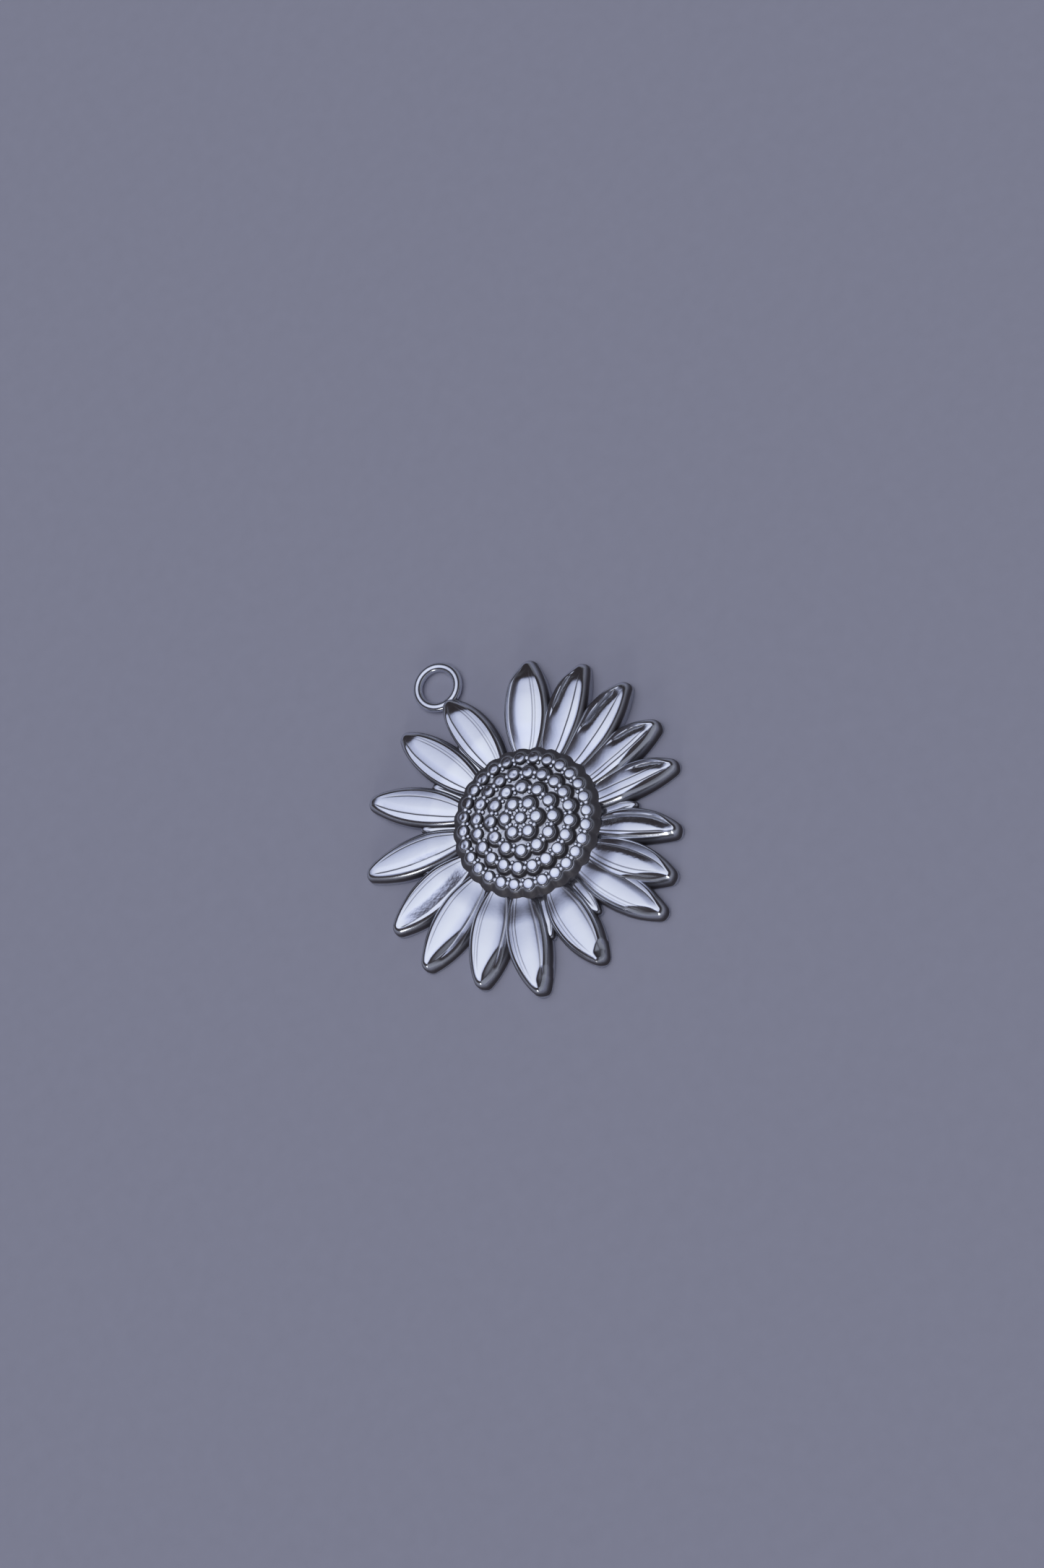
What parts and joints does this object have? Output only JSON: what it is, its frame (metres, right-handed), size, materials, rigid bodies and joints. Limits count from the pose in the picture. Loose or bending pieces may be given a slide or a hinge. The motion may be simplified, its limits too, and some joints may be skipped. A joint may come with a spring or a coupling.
{
  "type": "flower pendant",
  "caption": "Flat-backed cast sunflower pendant with overlapping grooved petals, a stepped disc of round seeds and a small ring loop at one petal's tip.",
  "frame": {"origin": "on the flat back, under the middle of the seed disc", "axes": "+Y towards the ring loop, +Z out of the flower's face, +X to the right as its face is looked at"},
  "size_m": [0.0301, 0.034, 0.0032],
  "materials": {
    "silver": "polished cast metal"
  },
  "bodies": {
    "root": {"pendant": "silver"}
  },
  "joints": []
}
